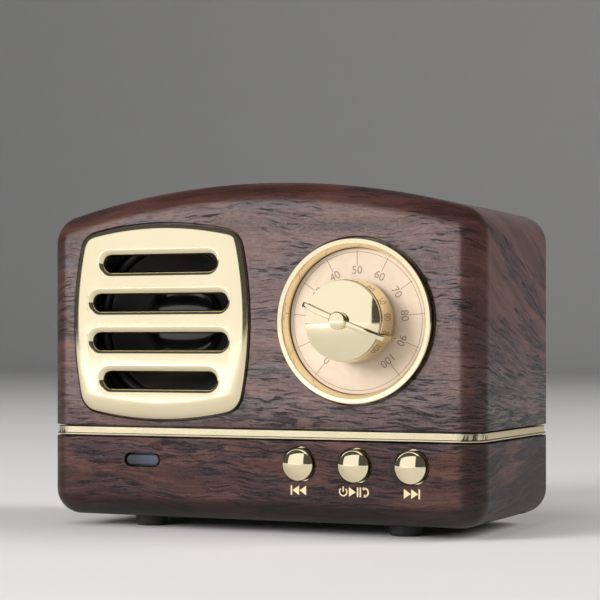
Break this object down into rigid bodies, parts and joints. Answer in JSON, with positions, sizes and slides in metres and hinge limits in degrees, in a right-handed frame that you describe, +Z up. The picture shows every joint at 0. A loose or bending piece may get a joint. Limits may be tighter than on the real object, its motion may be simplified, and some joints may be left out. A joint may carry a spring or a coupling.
{
  "type": "wireless speaker",
  "caption": "Palm-sized battery wireless speaker styled as an old table radio: wood-film cabinet, slotted gilt grille, dial with turning knob and push buttons.",
  "frame": {"origin": "under the middle of the whole object's box, on the surface that the feet stand on", "axes": "+X to the right seen from the front, +Y to the rear, +Z up; the grille and knob face -Y"},
  "size_m": [0.0886, 0.0532, 0.0655],
  "materials": {
    "wood_film": "satin wood-grain film over moulded plastic",
    "gilt": "polished pale gold plating on moulded plastic",
    "dial_print": "satin beige with printed marks",
    "black_plastic": "moulded",
    "smoked_lens": "smoked, polished",
    "rubber": "moulded",
    "foam": "closed-cell foam",
    "steel": "zinc plated",
    "ferrite": "sintered",
    "paper": "pressed, lacquered",
    "copper": "wound",
    "circuit_board": "solder resist",
    "battery_foil": "foil",
    "lead": "insulated wire",
    "white_led": "clear"
  },
  "bodies": {
    "cabinet": {"upper_cabinet": "wood_film", "lower_cabinet": "wood_film", "trim_band": "gilt", "grille_plate": "gilt", "dial_ring": "gilt", "dial_plate": "dial_print", "volume_control": "black_plastic", "tact_switch_previous": "black_plastic", "tact_switch_play": "black_plastic", "tact_switch_next": "black_plastic", "link_header": "black_plastic", "amplifier_chip": "black_plastic", "audio_jack": "black_plastic", "microphone": "black_plastic", "indicator_window": "smoked_lens", "foot_front_left": "rubber", "foot_front_right": "rubber", "foot_rear_left": "rubber", "foot_rear_right": "rubber", "surround": "rubber", "speaker_gasket": "foam", "battery_pad": "foam", "speaker_basket": "steel", "magnet_top_plate": "steel", "magnet_yoke": "steel", "control_bushing": "steel", "control_nut": "steel", "usb_socket": "steel", "card_slot": "steel", "case_screw_front_left": "steel", "case_screw_front_right": "steel", "case_screw_rear_left": "steel", "case_screw_rear_right": "steel", "speaker_screw_1": "steel", "speaker_screw_2": "steel", "speaker_screw_3": "steel", "speaker_screw_4": "steel", "speaker_magnet": "ferrite", "spider": "paper", "button_board": "circuit_board", "main_board": "circuit_board", "battery": "battery_foil", "wireless_module": "battery_foil", "speaker_lead_positive": "lead", "speaker_lead_negative": "lead", "battery_lead": "lead", "control_lead": "lead", "indicator_led": "white_led"},
    "knob": {"knob_body": "gilt", "knob_cap": "gilt", "pointer_bar": "gilt", "knob_shaft": "steel"},
    "previous_button": {"button_previous": "gilt"},
    "play_button": {"button_play": "gilt"},
    "next_button": {"button_next": "gilt"},
    "cone": {"speaker_cone": "paper", "dust_cap": "paper", "voice_coil": "copper"}
  },
  "joints": [
    {"name": "knob_turn", "type": "hinge", "parent": "cabinet", "child": "knob", "pos_m": [0.02045, -0.01745, 0.03945], "axis": [0, 1, 0], "range_deg": [-252, 28]},
    {"name": "previous_press", "type": "slide", "parent": "cabinet", "child": "previous_button", "axis": [0, 1, 0], "range_m": [0, 0.0005], "stiffness_N_per_m": 600, "springref_m": -0.0005},
    {"name": "play_press", "type": "slide", "parent": "cabinet", "child": "play_button", "axis": [0, 1, 0], "range_m": [0, 0.0005], "stiffness_N_per_m": 600, "springref_m": -0.0005},
    {"name": "next_press", "type": "slide", "parent": "cabinet", "child": "next_button", "axis": [0, 1, 0], "range_m": [0, 0.0005], "stiffness_N_per_m": 600, "springref_m": -0.0005},
    {"name": "cone_travel", "type": "slide", "parent": "cabinet", "child": "cone", "axis": [0, -1, 0], "range_m": [-0.001, 0.001], "stiffness_N_per_m": 800, "deforming": ["surround", "spider"]}
  ]
}
